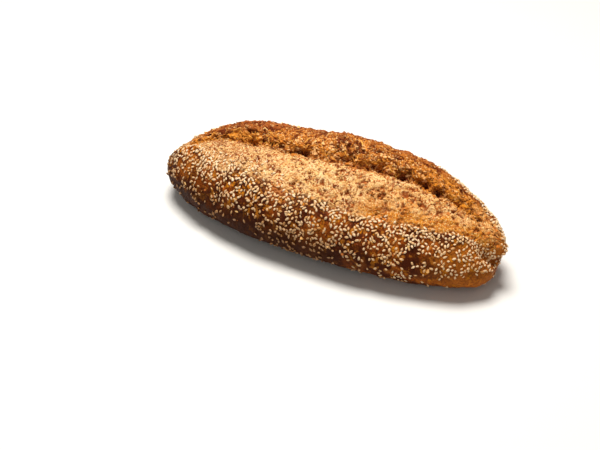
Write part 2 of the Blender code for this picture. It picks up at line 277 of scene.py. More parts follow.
def section_lines(x):
    """The (y, z) places of the ten named lines at each place x along the loaf.

    Each y is a share of the half width, which follows the oval plan, but the lip runs on a path of its own
    near the middle, with the split and the wall beside it. Each z rises from the tip's height to the line's
    own height as the fade along the loaf does, with the line's bumps.
    """
    share = np.clip(x / (LENGTH / 2), -1, 1)
    rightness = share * 0.5 + 0.5
    plan = LEFT_PLAN_POWER + (RIGHT_PLAN_POWER - LEFT_PLAN_POWER) * rightness
    half = WIDTH / 2 * fade(share, plan, 1 / plan)
    near_half = half * with_bumps(x, NEAR_SHARE, NEAR_FLANK_BUMPS)
    tip = LEFT_TIP_HEIGHT + (RIGHT_TIP_HEIGHT - LEFT_TIP_HEIGHT) * rightness

    def raised(height, rise):
        """From the tip's height toward a line's own height by a share."""
        return tip + (height - tip) * rise

    foot_z = np.maximum(tip * (1 - fade(share, 7, 0.5)) - 0.0006, 0)
    belly_z = raised(BELLY_HEIGHT, fade(share, 6, 1))
    seam_z = raised(SEAM_HEIGHT + with_bumps(x, 0, SEAM_BUMPS), fade(share, 5, 0.6))
    seam_share = SEAM_SHARE - (SEAM_SHARE - LEFT_SEAM_SHARE) * np.clip((-x - 0.040) / 0.080, 0, 1) ** 1.5
    lip_z = raised(LIP_HEIGHT, fade(share, 2.6, 0.60 - 0.16 * share) * with_bumps(x, 1, LIP_BUMPS))
    opening = fade(np.clip(share / 0.93, -1, 1), 4, 1)
    lip_y = with_bumps(x, LIP_Y, LIP_PATH_BUMPS) + 0.0030 * ramp(x, 0.085, 0.125)
    lip_y = lip_y * fade(share, 4, 0.5) + 0.0011 * smooth_noise(x[:, None] * [1, 0, 0], 0.011, 301) * opening
    depth = SPLIT_DEPTH * opening * with_bumps(x, 1, SPLIT_BUMPS)
    ridge_rise = fade(share, 2, 0.68 - 0.22 * rightness)
    ridge_z = raised(RIDGE_HEIGHT, ridge_rise * with_bumps(x, 1, RIDGE_BUMPS))
    far_rise = fade(share, 3.2, 0.75 - 0.08 * rightness)
    far_z = raised(FAR_SEAM_HEIGHT, far_rise * with_bumps(x, 1, FAR_SEAM_BUMPS))
    wall_z = lip_z - depth + 0.62 * (ridge_z - lip_z + depth)
    return {
        "near_foot": (-FOOT_SHARE * half, foot_z),
        "near_belly": (-near_half, belly_z),
        "near_seam": (-seam_share * half, seam_z),
        "lip": (lip_y, lip_z),
        "split": (lip_y + 0.50 * SPLIT_WIDTH * opening + 0.02 * half, lip_z - depth),
        "wall": (lip_y + 0.90 * SPLIT_WIDTH * opening + 0.05 * half, wall_z),
        "ridge": (RIDGE_SHARE * half, ridge_z),
        "far_seam": (FAR_SEAM_SHARE * half, far_z),
        "far_belly": (half, belly_z),
        "far_foot": (FOOT_SHARE * half, foot_z),
    }


def ring_points(x, steps):
    """Sections at the places x, each a closed line of smooth curves from one named line to the next.

    Each curve is the cubic that leaves and arrives in the travel directions of its two lines. The underside,
    from foot to foot, is straight.
    """
    lines = section_lines(x)
    stretches = []
    for name, following, count in zip(LINES, LINES[1:] + LINES[:1], steps):
        start = np.stack(lines[name], -1)[:, None]
        end = np.stack(lines[following], -1)[:, None]
        t = (np.arange(count) / count)[None, :, None]
        if name == "far_foot":
            stretches.append(start + (end - start) * t)
            continue
        reach = np.linalg.norm(end - start, axis=-1, keepdims=True)
        leave, hold = TRAVEL[name]
        arrive, hold_end = TRAVEL[following]
        leaving = reach * hold * np.array([np.cos(np.radians(leave)), np.sin(np.radians(leave))])
        arriving = reach * hold_end * np.array([np.cos(np.radians(arrive)), np.sin(np.radians(arrive))])
        stretches.append(
            (2 * t**3 - 3 * t**2 + 1) * start + (t**3 - 2 * t**2 + t) * leaving
            + (3 * t**2 - 2 * t**3) * end + (t**3 - t**2) * arriving
        )
    flat = np.concatenate(stretches, 1)
    along = np.broadcast_to(x[:, None, None], flat.shape[:2] + (1,))
    return np.concatenate([along, flat], -1)


def ring_normals(points):
    """The outward direction at each ring point, from its neighbours along and round the loaf."""
    along = np.gradient(points, axis=0)
    around = np.roll(points, -1, 1) - np.roll(points, 1, 1)
    return unit(np.cross(along, around))


def ring_places(count):
    """Places along the loaf for its rings: even in the middle and crowded at the round tips."""
    fine = -LENGTH / 2 * np.cos(np.linspace(0.006, np.pi - 0.006, 4000))
    half = section_lines(fine)["far_belly"][0]
    travelled = np.concatenate([[0], np.cumsum(np.hypot(np.diff(fine), 0.55 * np.diff(half)))])
    return np.interp(np.linspace(0, travelled[-1], count), travelled, fine)


def places_round(steps):
    """The place of each point round its section: 0 at the near foot, and 1 more at each named line."""
    return np.concatenate([line + np.arange(count) / count for line, count in enumerate(steps)])


def hashed(cell, salt):
    """A repeatable number from 0 to 1 for each whole-number cell of space, from its counts' mixed bits."""
    counts = cell * MIXERS[:3]
    mixed = counts[..., 0] ^ counts[..., 1] ^ counts[..., 2] ^ salt * MIXERS[3]
    mixed = (mixed ^ (mixed >> 13)) * MIXERS[4]
    return ((mixed ^ (mixed >> 16)) & 0xFFFFFF) / 0x1000000


def smooth_noise(points, size, salt):
    """Noise from -1 to 1: random values at the corners of cells of this size, blended between them."""
    scaled = points / size
    base = np.floor(scaled).astype(np.int64)
    part = scaled - base
    part = part * part * (3 - 2 * part)
    total = np.zeros(points.shape[:-1])
    for corner in np.ndindex(2, 2, 2):
        offset = np.array(corner)
        weight = np.prod(np.where(offset == 1, part, 1 - part), -1)
        total += weight * hashed(base + offset, salt)
    return total * 2 - 1


def pebbles(points, size, salt):
    """Rounded lumps from 0 to 1, one in each cell of space: 1 at a lump's middle, 0 in the gaps.

    Each is 1 less a share of the squared distance to the nearest of the random middles.
    """
    scaled = points / size
    base = np.floor(scaled).astype(np.int64)
    nearest = np.full(points.shape[:-1], 9.0)
    for offset in np.ndindex(3, 3, 3):
        cell = base + np.array(offset) - 1
        middle = cell + np.stack([hashed(cell, salt), hashed(cell, salt + 1), hashed(cell, salt + 2)], -1)
        nearest = np.minimum(nearest, np.sum((scaled - middle) ** 2, -1))
    return np.clip(1 - nearest / 0.75, 0, 1)


def drift(points, size, salt):
    """A wandering offset in all three directions, each from -1 to 1."""
    return np.stack([smooth_noise(points, size, salt + step) for step in range(3)], -1)


def loaf_zones(points, place):
    """How far each point belongs to the seeded skin, the floury slab and the torn burst, from 0 to 1.

    The borders are given as places round the section at places along the loaf, frayed by noise: widely at the
    left of the near seam, where seeds and flour run into each other, and finely along the lip.
    """
    x = points[..., 0]
    fray = smooth_noise(points, 0.010, 31) + 0.9 * smooth_noise(points, 0.0038, 32)
    looseness = 0.04 + 0.17 * ramp(-x, 0.000, 0.045) * ramp(x, -0.118, -0.095)
    seam = np.interp(x, SEAM_X, SEAM_PLACE)
    above_seam = ramp(place + looseness * fray - seam, -0.05, 0.06)
    torn_edge = ramp(place + 0.07 * fray, 3.02, 3.20)
    far_edge = ramp(place + 0.14 * fray - np.interp(x, FAR_EDGE_X, FAR_EDGE_PLACE), -0.16, 0.12)
    toward_ends = np.maximum(ramp(x + 0.004 * fray, 0.116, 0.132), ramp(-x + 0.003 * fray, 0.124, 0.132))
    burst = torn_edge * (1 - far_edge) * (1 - toward_ends)
    tip_skin = ramp(x + 0.0020 * fray, 0.1415, 0.1450)
    seeded = np.maximum(np.maximum(1 - above_seam, far_edge), tip_skin)
    slab = np.clip(1 - seeded - burst, 0, 1)
    return {"seeded": seeded, "slab": slab, "burst": burst}


def bake_tones(points, zones, place):
    """Attributes that colour the skin, each from 0 to 1 and each a sum of ramps, bumps and noise.

    Warmth marks golden places and crown the browner top of the ridge. Two of them are painted shade: one
    darkens the skin toward the foot, and split darkens the score and, most, its pits. Dust marks the stray
    flour, thin the flour that crust shows through, and rust the spots without flour.
    """
    x, z = points[..., 0], points[..., 2]
    drifting = smooth_noise(points, 0.016, 161)
    patches = smooth_noise(points, 0.0070, 162)
    above_seam = place - np.interp(x, SEAM_X, SEAM_PLACE)
    # The slab grows golden toward the right, along a band above the seam and less at the lip
    band = swell(above_seam, 0.10, 0.26) * ramp(x, 0.020, 0.075)
    toward_lip = ramp(above_seam, 0.20, 0.75)
    pale_lip = 0.8 * toward_lip * (1 - 0.7 * ramp(x, 0.070, 0.115))
    slab_warmth = 0.52 * ramp(x, 0.000, 0.110) * (1 - pale_lip) + 0.90 * band + 0.28 * drifting
    slab_warmth = slab_warmth + 0.35 * patches * ramp(x, 0.000, 0.060)
    # The burst is golden at the left end, along the wall and at the right
    golden = 0.8 * ramp(-x, 0.055, 0.085) * ramp(place, 5.6, 4.6) + 0.35 * swell(place, 4.9, 0.45)
    golden = golden + 0.55 * ramp(x, 0.060, 0.100) + 0.30 * drifting
    # The seeded skin is golden low at the right end, and in patches from the middle to both ends
    toe = ramp(x, 0.090, 0.132) * ramp(z, 0.054, 0.040)
    toe = toe + 0.55 * ramp(patches, 0.15, 0.65) * ramp(x, -0.060, 0.060)
    toe = toe + 0.70 * ramp(patches, -0.25, 0.45) * ramp(-x, 0.090, 0.115) * ramp(z, 0.018, 0.034)
    warmth = zones["slab"] * slab_warmth + zones["burst"] * golden + zones["seeded"] * toe
    # Painted shade in the score: weak along all of it, full in the pits of the deep hollows
    split = ramp(place, 3.05, 3.35) * (1 - ramp(place, 4.35, 4.85))
    pits = sum(depth / PAINTED_SHADE_DEPTH * swell(x, middle, reach) for depth, middle, reach in HOLLOW_BUMPS)
    pits = ramp(pits * swell(place, 4.45, 0.40), 0.40, 1.05)
    crown = place + 0.25 * drifting + 0.25 * patches + 0.70 * ramp(-x, 0.030, 0.090)
    # Painted shade: the skin darkens from about the seam's height down toward the foot, less at the right end
    low = ramp(z, 0.058 - 0.012 * ramp(x, 0.030, 0.090) - 0.006 * ramp(-x, 0.090, 0.120), 0.022)
    dust = swell(above_seam, -0.04, 0.20) * ramp(x, -0.118, -0.100) * ramp(x, 0.010, -0.030)
    return {
        "warmth": np.clip(warmth, 0, 1),
        "crown": ramp(crown, 5.85, 6.50),
        "low": low * (1 - 0.75 * ramp(x, 0.020, 0.085)),
        "dust": dust * np.clip(0.65 + 0.7 * smooth_noise(points, 0.006, 171), 0, 1),
        "thin": zones["slab"] * ramp(-x, 0.010, 0.080) * np.clip(0.60 + 0.60 * patches, 0, 1),
        "split": np.clip(split * 0.22 + pits, 0, 1),
        "rust": rust_spots(points) * zones["slab"] * (1 - 0.7 * np.clip(band, 0, 1)),
    }


def rust_spots(points):
    """Ovals where the slab's flour has broken away, from 0 to 1: more and larger ones toward the right.

    The spots are the tops of pebbles of two sizes, let through only where a slower noise is high.
    """
    warped = points * [0.8, 1, 1] + 0.0013 * drift(points, 0.0030, 414)
    uneven = 0.20 * smooth_noise(points, 0.0017, 425)
    large = ramp(pebbles(warped, 0.0074, 411) + uneven, 0.80, 0.90)
    small = ramp(pebbles(warped, 0.0038, 417) + uneven, 0.78, 0.90)
    rightward = ramp(points[..., 0], -0.030, 0.055)
    gate_large = ramp(smooth_noise(points, 0.008, 412) + 0.42 * rightward, 0.25, 0.50)
    gate_small = ramp(smooth_noise(points, 0.006, 413) + 0.46 * rightward, 0.05, 0.42)
    return np.maximum(large * gate_large, small * gate_small)


def burst_relief(points, place):
    """The height of the torn crumb: large crags, then smaller and smaller lumps, each size warped by noise.

    The crags are strongest in the score and weak on top of the ridge. All lumps are longer along the loaf,
    and slits between torn strings cut into the left of it.
    """
    drawn_out = points * [0.72, 1, 1]
    warped = drawn_out + 0.0016 * drift(points, 0.0050, 51) + 0.0006 * drift(points, 0.0018, 54)
    crags = 0.55 * pebbles(points, LARGE_CRAG, 11) + 0.45 * pebbles(points, SMALL_CRAG, 17) - 0.5
    clods = pebbles(warped, CLOD, 61) - 0.45
    crumbs = pebbles(warped, CRUMB, 71) - 0.45
    grit = smooth_noise(points, GRIT, 81)
    pits = ramp(smooth_noise(drawn_out, 0.0065, 91), 0.22, 0.65)
    on_ridge = ramp(place, 5.3, 6.2)
    in_split = ramp(place, 3.2, 3.7) * (1 - ramp(place, 4.6, 5.4))
    rise = (1 - 0.55 * on_ridge) * (CRAG_HEIGHT * crags + CLOD_HEIGHT * clods)
    rise = rise + (1 - 0.25 * on_ridge) * CRUMB_HEIGHT * crumbs + GRIT_HEIGHT * grit
    torn_strings = points * [0.34, 1, 1] + 0.0012 * drift(points, 0.0050, 424)
    slits = ramp(smooth_noise(torn_strings, 0.0036, 421), 0.10, 0.45) * ramp(-points[..., 0], 0.030, 0.070)
    rise = rise - SLIT_DEPTH * slits * (1 - 0.6 * on_ridge)
    return rise - pits * (PIT_DEPTH + SPLIT_PIT_DEPTH * in_split) - RIDGE_DROP * on_ridge


def slab_relief(points):
    """The height of the floury slab: shallow waves, grain that coarsens rightward, pinholes and rust pits."""
    coarse = 1 + 0.9 * ramp(points[..., 0], 0.025, 0.080)
    waves = SLAB_WAVE * smooth_noise(points, 0.0090, 101)
    waves = waves + SLAB_RIPPLE * coarse * smooth_noise(points, 0.0042, 102)
    grain = SLAB_GRAIN * coarse * (pebbles(points + 0.0006 * drift(points, 0.002, 105), 0.0021, 111) - 0.4)
    torn = points + 0.0016 * drift(points, 0.0026, 124)
    pinholes = ramp(pebbles(torn, 0.0056, 121), 0.74, 0.98)
    pinholes = pinholes * ramp(smooth_noise(points, 0.006, 122), 0.00, 0.45)
    return waves + grain - PINHOLE_DEPTH * pinholes - RUST_DEPTH * rust_spots(points)


def skin_relief(points):
    """The height of the seeded skin: blisters of two sizes and a leathery grain."""
    blisters = BLISTER * smooth_noise(points, 0.0085, 131) + SMALL_BLISTER * smooth_noise(points, 0.0038, 132)
    return blisters + LEATHER * (pebbles(points, 0.0028, 141) - 0.4)


def end_lobes(x, y, z, seam_z):
    """How far the skin is moved along X at the tips.

    At the right tip the seam runs on as a deep notch, and an upper lobe stands out past the lower one.
    """
    near_right = ramp(x, 0.122, 0.146)
    upper = ramp(z, 0.0250, 0.0320) * ramp(y, -0.020, 0.004)
    notch = swell(z, np.maximum(seam_z - 0.0025, 0.0262), 0.0036) * ramp(x, 0.132, 0.1465)
    moved = near_right * UPPER_LOBE * upper - NOTCH_DEPTH * notch
    return moved - LEFT_TUCK * ramp(-x, 0.115, 0.146)


def loaf_points(x, steps):
    """The loaf's skin and its zones.

    The plain sections are raised along their normals by broad lumps and each zone's relief, lowered by the
    pinched seam, the hollows and the settled crest, and moved along X into the end lobes.
    """
    points = ring_points(x, steps)
    normals = ring_normals(points)
    place = np.broadcast_to(places_round(steps)[None], points.shape[:2])
    zones = loaf_zones(points, place)
    zones.update(bake_tones(points, zones, place))
    along = x[:, None]
    y, z = points[..., 1], points[..., 2]
    at_tip = ramp(np.abs(along), 0.1478, 0.1440)
    above_floor = ramp(z, 0.004, 0.018)
    lumps = smooth_noise(points, 0.042, 3) + 0.5 * smooth_noise(points, 0.021, 5)
    lumps = LUMP_HEIGHT * lumps * above_floor
    relief = zones["burst"] * burst_relief(points, place) + zones["slab"] * slab_relief(points)
    relief = relief + zones["seeded"] * skin_relief(points) * ramp(z, 0.0004, 0.006)
    hollows = with_bumps(along, 0, HOLLOW_BUMPS) * swell(place, 4.40, 0.42)
    # At the right end the seam pinches the skin between an upper lobe and a lower one
    seam_z = section_lines(x)["near_seam"][1][:, None]
    pinch = PINCH_DEPTH * ramp(along, 0.118, 0.144) * swell(z, seam_z, 0.0045) * (1 - ramp(y, 0.004, 0.024))
    low_lobe = LOWER_LOBE * ramp(along, 0.110, 0.135) * swell(z, 0.016, 0.010) * (1 - ramp(y, -0.010, 0.010))
    low_lobe = low_lobe * ramp(z, 0.0002, 0.004)
    settled = with_bumps(along, 0, SETTLED_BUMPS) * ramp(place, 4.9, 5.7) * ramp(place, 8.0, 7.2)
    # Depth below the relief, from -1 to 1, which paints shade into the hollows
    zones["hollow"] = np.clip(-relief / 0.0020, -1, 1)
    raised = lumps + relief - pinch + low_lobe - hollows - settled
    points = points + normals * (raised * at_tip)[..., None]
    points = points + TORN_SHIFT * zones["burst"][..., None] * drift(points, 0.0030, 151)
    scallops = smooth_noise(points, 0.0042, 311) * swell(place, 3.0, 0.22) * zones["slab"]
    points[..., 1] += SCALLOP * scallops
    points[..., 0] += end_lobes(along, y, z, seam_z)
    zones["place"] = place
    return points, zones


def closed_skin(name, points, zones):
    """A closed mesh of rings, with a fan of triangles to a pole at each end, and the zones as attributes."""
    rings, sides = points.shape[:2]
    ring, side = np.meshgrid(np.arange(rings - 1), np.arange(sides), indexing="ij")
    turned = (side + 1) % sides
    here, beside = ring * sides + side, ring * sides + turned
    quads = np.stack([here, here + sides, beside + sides, beside], -1).reshape(-1, 4)
    edge = np.arange(sides)
    first_pole, last_pole = rings * sides, rings * sides + 1
    last_ring = (rings - 1) * sides
    start_fan = np.stack([np.full(sides, first_pole), edge, (edge + 1) % sides], -1)
    end_fan = np.stack([np.full(sides, last_pole), last_ring + (edge + 1) % sides, last_ring + edge], -1)
    poles = np.stack([points[0].mean(0), points[-1].mean(0)])
    corners = np.concatenate([points.reshape(-1, 3), poles])
    mesh = mesh_from_arrays(name, corners, quads, np.concatenate([start_fan, end_fan]))
    for zone, values in zones.items():
        ends = np.array([values[0].mean(), values[-1].mean()])
        add_attribute(mesh, zone, np.concatenate([values.ravel(), ends]))
    return mesh


def mesh_from_arrays(name, corners, quads, triangles, smooth=True):
    """A mesh from whole arrays of corners, four-sided faces and three-sided faces."""
    mesh = bpy.data.meshes.new(name)
    mesh.vertices.add(len(corners))
    mesh.vertices.foreach_set("co", corners.astype(np.float32).ravel())
    loops = np.concatenate([quads.ravel(), triangles.ravel()])
    sizes = np.concatenate([np.full(len(quads), 4), np.full(len(triangles), 3)])
    starts = np.concatenate([[0], np.cumsum(sizes)[:-1]])
    mesh.loops.add(len(loops))
    mesh.loops.foreach_set("vertex_index", loops.astype(np.int32))
    mesh.polygons.add(len(sizes))
    mesh.polygons.foreach_set("loop_start", starts.astype(np.int32))
    mesh.update(calc_edges=True)
    if smooth:
        mesh.shade_smooth()
    else:
        mesh.shade_flat()
    return mesh


def add_attribute(mesh, name, values):
    """Gives a mesh one number at each of its corners, under a name that materials read."""
    attribute = mesh.attributes.new(name, "FLOAT", "POINT")
    attribute.data.foreach_set("value", values.astype(np.float32))


def drop_shape(sides, sections):
    """A unit drop along X: pointed poles at both ends and round sections of given place and radius."""
    turns = 2 * np.pi * np.arange(sides) / sides
    rings = [np.stack([np.full(sides, x), r * np.cos(turns), r * np.sin(turns)], -1) for x, r in sections]
    corners = np.concatenate([[[-0.5, 0, 0]], *rings, [[0.5, 0, 0]]])
    edge = np.arange(sides)
    turned = (edge + 1) % sides
    quads = []
    for ring in range(len(sections) - 1):
        here, beside = 1 + ring * sides + edge, 1 + ring * sides + turned
        quads.append(np.stack([here, beside, beside + sides, here + sides], -1))
    last = 1 + (len(sections) - 1) * sides
    tail = np.stack([np.zeros(sides, int), 1 + turned, 1 + edge], -1)
    nose = np.stack([last + edge, last + turned, np.full(sides, len(corners) - 1)], -1)
    return corners, (np.concatenate(quads), np.concatenate([tail, nose]))


def dented_drops(rng, size, sections, unevenness):
    """Five-sided drops of given sizes, each with its corners moved at random by a share of their places."""
    unit_corners, faces = drop_shape(5, sections)
    dents = 1 + unevenness * rng.normal(size=(len(size), len(unit_corners), 3)).clip(-1.8, 1.8)
    return unit_corners[None] * dents * size[:, None], faces


def laid(local, axes, middles):
    """The corners of many things, turned from their own axes into the skin's and moved to their middles."""
    return np.einsum("nci,nij->ncj", local, axes) + middles[:, None]


def scattered_mesh(name, faces, corners, tones, smooth=True):
    """One mesh of many like things: corners holds each thing's own corners, and tones its shades."""
    quads, triangles = faces
    count, size = corners.shape[:2]
    steps = (np.arange(count) * size)[:, None, None]
    every_quad = (quads[None] + steps).reshape(-1, 4)
    every_triangle = (triangles[None] + steps).reshape(-1, 3)
    mesh = mesh_from_arrays(name, corners.reshape(-1, 3), every_quad, every_triangle, smooth)
    for tone, values in tones.items():
        add_attribute(mesh, tone, np.repeat(values, size))
    return mesh


def lying_frames(normals, rng, tilt, along=0.0):
    """For each thing three axes: its length turned at random in the skin, its width, and its outward side.

    With along above 0 the lengths tend to lie along the loaf.
    """
    outward = unit(normals + tilt * rng.normal(size=normals.shape))
    wanted = rng.normal(size=normals.shape) + along * rng.choice([-1, 1], (len(normals), 1)) * [2.0, 0, 0]
    length = unit(wanted - np.sum(wanted * outward, -1, keepdims=True) * outward)
    return np.stack([length, np.cross(outward, length), outward], -2)


class Skin:
    """The finished skin as arrays, with a normal and an area at each point, to scatter things over it."""

    def __init__(self, points, zones):
        self.points = points
        self.zones = zones
        self.normals = ring_normals(points)
        along = np.linalg.norm(np.gradient(points, axis=0), axis=-1)
        around = np.linalg.norm(np.roll(points, -1, 1) - points, axis=-1)
        self.area = along * around

    def draw(self, rng, weight, count):
        """Random places on the skin, drawn in proportion to area times weight."""
        chance = (self.area * weight).ravel()
        picks = rng.choice(chance.size, size=count, p=chance / chance.sum())
        ring, side = np.unravel_index(picks, self.area.shape)
        ring = np.clip(ring, 1, self.points.shape[0] - 2)
        shift_along, shift_round = rng.random((2, count, 1)) - 0.5
        here = self.points[ring, side]
        beside = self.points[ring, (side + 1) % self.points.shape[1]]
        onward = self.points[ring + 1, side]
        middle = here + shift_round * (beside - here) + shift_along * (onward - here)
        return middle, self.normals[ring, side], (ring, side)

    def sampled(self, at, names):
        """The skin's own tones at the places of scattered things."""
        return {name: self.zones[name][at] for name in names}


def kept_apart(places, spacing, wanted):
    """Indices of places taken in turn, skipping any that lies closer than spacing to one already taken."""
    taken = [0]
    for index in range(1, len(places)):
        gaps = np.sum((places[taken] - places[index]) ** 2, -1)
        if gaps.min() > spacing**2:
            taken.append(index)
        if len(taken) == wanted:
            break
    return np.array(taken)


def seed_weight(skin):
    """How thickly seeds lie at each point of the skin: clusters of noise times what each region allows."""
    x, y, z = np.moveaxis(skin.points, -1, 0)
    wandering = skin.points + 0.005 * drift(skin.points, 0.012, 204)
    clusters = 0.60 + 0.40 * smooth_noise(wandering, 0.017, 201) + 0.72 * smooth_noise(wandering, 0.0064, 202)
    clusters = clusters * (1 - 0.34 * swell(x, -0.020, 0.045) - 0.26 * ramp(-x, 0.070, 0.110))
    clusters = clusters * (1 - 0.40 * ramp(-x, 0.112, 0.136))
    # Few seeds lie at the foot, low at the right end and low on the left of the near flank
    bare_foot = ramp(z, 0.004, 0.024)
    bare_toe = 1 - 0.93 * ramp(x, 0.064, 0.120) * (1 - ramp(z, 0.013, 0.034))
    bare_heel = 1 - 0.88 * swell(x, -0.062, 0.046) * ramp(z, 0.050, 0.032) * ramp(-y, 0.010, 0.020)
    upper = 0.40 + 0.70 * ramp(z, 0.022, 0.052)
    upper = upper * (1 + 1.8 * ramp(x, 0.128, 0.138) * ramp(z, 0.026, 0.032))
    # Many lie along the near seam, in a band that widens to the right, and some stray past it at the left
    past_seam = skin.zones["place"] - np.interp(x, SEAM_X, SEAM_PLACE)
    rightward = ramp(x, 0.040, 0.080)
    near_seam = swell(past_seam, -0.06 - 0.06 * rightward, 0.07 + 0.06 * rightward)
    near_seam = 1 + (1.0 + 2.2 * ramp(x, 0.000, 0.060)) * near_seam
    strays = 0.55 * swell(past_seam, 0.05, 0.17) * ramp(-x, 0.000, 0.030)
    strays = strays + 0.12 * swell(past_seam, 0.03, 0.10)
    held = np.maximum(ramp(skin.zones["seeded"], 0.25, 0.9), strays * (past_seam < 0.8))
    far_rim = 0.8 + ramp(x, 0.060, 0.100) * (0.4 + 1.7 * ramp(z, 0.034, 0.050))
    weight = held * np.clip(clusters, 0.08, 1.8) * upper * near_seam
    return weight * bare_foot * bare_toe * bare_heel * np.where(y > 0, far_rim, 1.0)


def sesame_mesh(skin):
    """Sesame seeds lying on the seeded skin: flattened, slightly bent drops, kept apart from each other."""
    rng = np.random.default_rng(7)
    middles, normals, (ring, side) = skin.draw(rng, seed_weight(skin), SEEDS * 3)
    kept = kept_apart(middles, SEED_SPACING, SEEDS)
    middles, normals, at = middles[kept], normals[kept], (ring[kept], side[kept])
    count = len(kept)
    unit_corners, faces = drop_shape(8, ((-0.40, 0.27), (-0.20, 0.46), (0.08, 0.48), (0.34, 0.24)))
    size = np.tile([SEED_LENGTH, SEED_WIDTH, SEED_THICKNESS], (count, 1))
    size = size * rng.uniform(0.80, 1.14, (count, 1)) * rng.uniform(0.88, 1.10, (count, 3))
    size = size * (1 - 0.08 * ramp(middles[:, :1], -0.020, 0.110) * ramp(middles[:, 1:2], 0.010, -0.005))
    local = unit_corners[None] * size[:, None]
    bend = local[..., 0] ** 2 / SEED_LENGTH * rng.uniform(-0.2, 0.5, (count, 1))
    local[..., 2] -= bend
    axes = lying_frames(normals, rng, 0.30)
    lift = rng.uniform(0.00015, 0.00050, (count, 1))
    corners = laid(local, axes, middles + normals * lift)
    toasted = np.where(rng.random(count) < 0.12, rng.uniform(0.4, 1.0, count), rng.uniform(0.0, 0.3, count))
    # Each seed takes the painted shade of the skin under it toward the foot
    tones = {"toast": toasted, "shade": rng.random(count), "low": skin.zones["low"][at]}
    return scattered_mesh("sesame_seeds", faces, corners, tones)


def nugget_mesh(skin):
    """Loose flakes and nuggets of torn crumb: dented drops, sunk a little deeper on top of the ridge."""
    rng = np.random.default_rng(19)
    place = skin.zones["place"]
    weight = skin.zones["burst"] ** 2 * (0.7 + 0.6 * smooth_noise(skin.points, 0.006, 211)).clip(0.08)
    weight = weight * (1 - 0.65 * ramp(-skin.points[..., 0], 0.040, 0.075) * ramp(place, 6.1, 5.4))
    weight = weight * (1 - 0.5 * ramp(place, 3.1, 3.5) * (1 - ramp(place, 4.1, 4.6)))
    middles, normals, at = skin.draw(rng, weight, NUGGETS)
    on_ridge = ramp(place[at], 5.3, 6.0)
    length = rng.gamma(4.2, 0.00052, NUGGETS).clip(0.0009, 0.0046) * (1 - 0.20 * on_ridge)
    rise = length * (0.06 - 0.24 * on_ridge)
    width = rng.uniform(0.40, 0.80, NUGGETS)
    thickness = rng.uniform(0.22, 0.50, NUGGETS)
    size = length[:, None] * np.stack([np.ones(NUGGETS), width, thickness], -1)
    local, faces = dented_drops(rng, size, ((-0.24, 0.48), (0.22, 0.42)), 0.30)
    axes = lying_frames(normals, rng, 0.50, along=0.9)
    corners = laid(local, axes, middles + normals * rise[:, None])
    # Each flake takes the painted shade of the hollow and the score under it
    tones = skin.sampled(at, ("hollow", "split", "crown", "warmth"))
    tones["shade"] = rng.random(NUGGETS)
    return scattered_mesh("crumb_nuggets", faces, corners, tones, smooth=False)


def strand_mesh(skin):
    """Strings of torn crumb along the score and the left of the burst.

    Each is a tube round a path of knots that steps over the skin's own points, arched a little off the skin
    and thinner toward its ends.
    """
    rng = np.random.default_rng(29)
    place, x = skin.zones["place"], skin.points[..., 0]
    in_score = swell(place, 4.7, 0.55) + ramp(-x, 0.040, 0.075) * ramp(place, 6.0, 5.0)
    weight = skin.zones["burst"] ** 2 * (0.12 + in_score)
    _, _, (ring, side) = skin.draw(rng, weight, STRANDS)
    step = np.arange(STRAND_KNOTS) - (STRAND_KNOTS - 1) / 2
    stride = rng.uniform(0.5, 1.2, (STRANDS, 1))
    slope = rng.normal(0, 1.9, (STRANDS, 1))
    curl = rng.normal(0, 0.45, (STRANDS, 1))
    rings = np.clip(np.rint(ring[:, None] + stride * step), 1, place.shape[0] - 2).astype(int)
    lanes = np.rint(side[:, None] + slope * step + curl * step**2).astype(int) % place.shape[1]
    path = skin.points[rings, lanes]
    outward = unit(skin.normals[rings, lanes].mean(1, keepdims=True))
    for _ in range(2):
        path[:, 1:-1] = 0.5 * path[:, 1:-1] + 0.25 * (path[:, 2:] + path[:, :-2])
    arch = 1 - (2 * step / (STRAND_KNOTS - 1)) ** 2
    path = path + outward * (0.0001 + rng.uniform(0.0000, 0.0006, (STRANDS, 1)) * arch)[..., None]
    heading = unit(np.gradient(path, axis=1))
    across = unit(np.cross(outward, heading))
    upright = np.cross(heading, across)
    turns = 2 * np.pi * np.arange(STRAND_SIDES) / STRAND_SIDES
    thick = 1 + 0.45 * ramp(-x[ring, side], 0.040, 0.075)[:, None]
    radius = rng.uniform(0.00025, 0.00062, (STRANDS, 1)) * thick * (0.25 + 0.75 * arch**0.5)
    radius = radius * rng.uniform(0.75, 1.25, (STRANDS, STRAND_KNOTS))
    sideways = np.cos(turns)[:, None] * across[:, :, None]
    upward = 0.7 * np.sin(turns)[:, None] * upright[:, :, None]
    tube = path[:, :, None] + radius[..., None, None] * (sideways + upward)
    first = path[:, :1] - heading[:, :1] * 0.0004
    last = path[:, -1:] + heading[:, -1:] * 0.0004
    corners = np.concatenate([first, tube.reshape(STRANDS, -1, 3), last], 1)
    _, faces = drop_shape(STRAND_SIDES, ((0.0, 1.0),) * STRAND_KNOTS)
    tones = skin.sampled((ring, side), ("hollow", "split", "crown", "warmth"))
    # Strings lie on top of the crumb, so they take only a little of the painted shade of the hollows
    tones["hollow"] = tones["hollow"] * 0.3 - 0.3
    tones["shade"] = rng.random(STRANDS)
    return scattered_mesh("crumb_strands", faces, corners, tones)


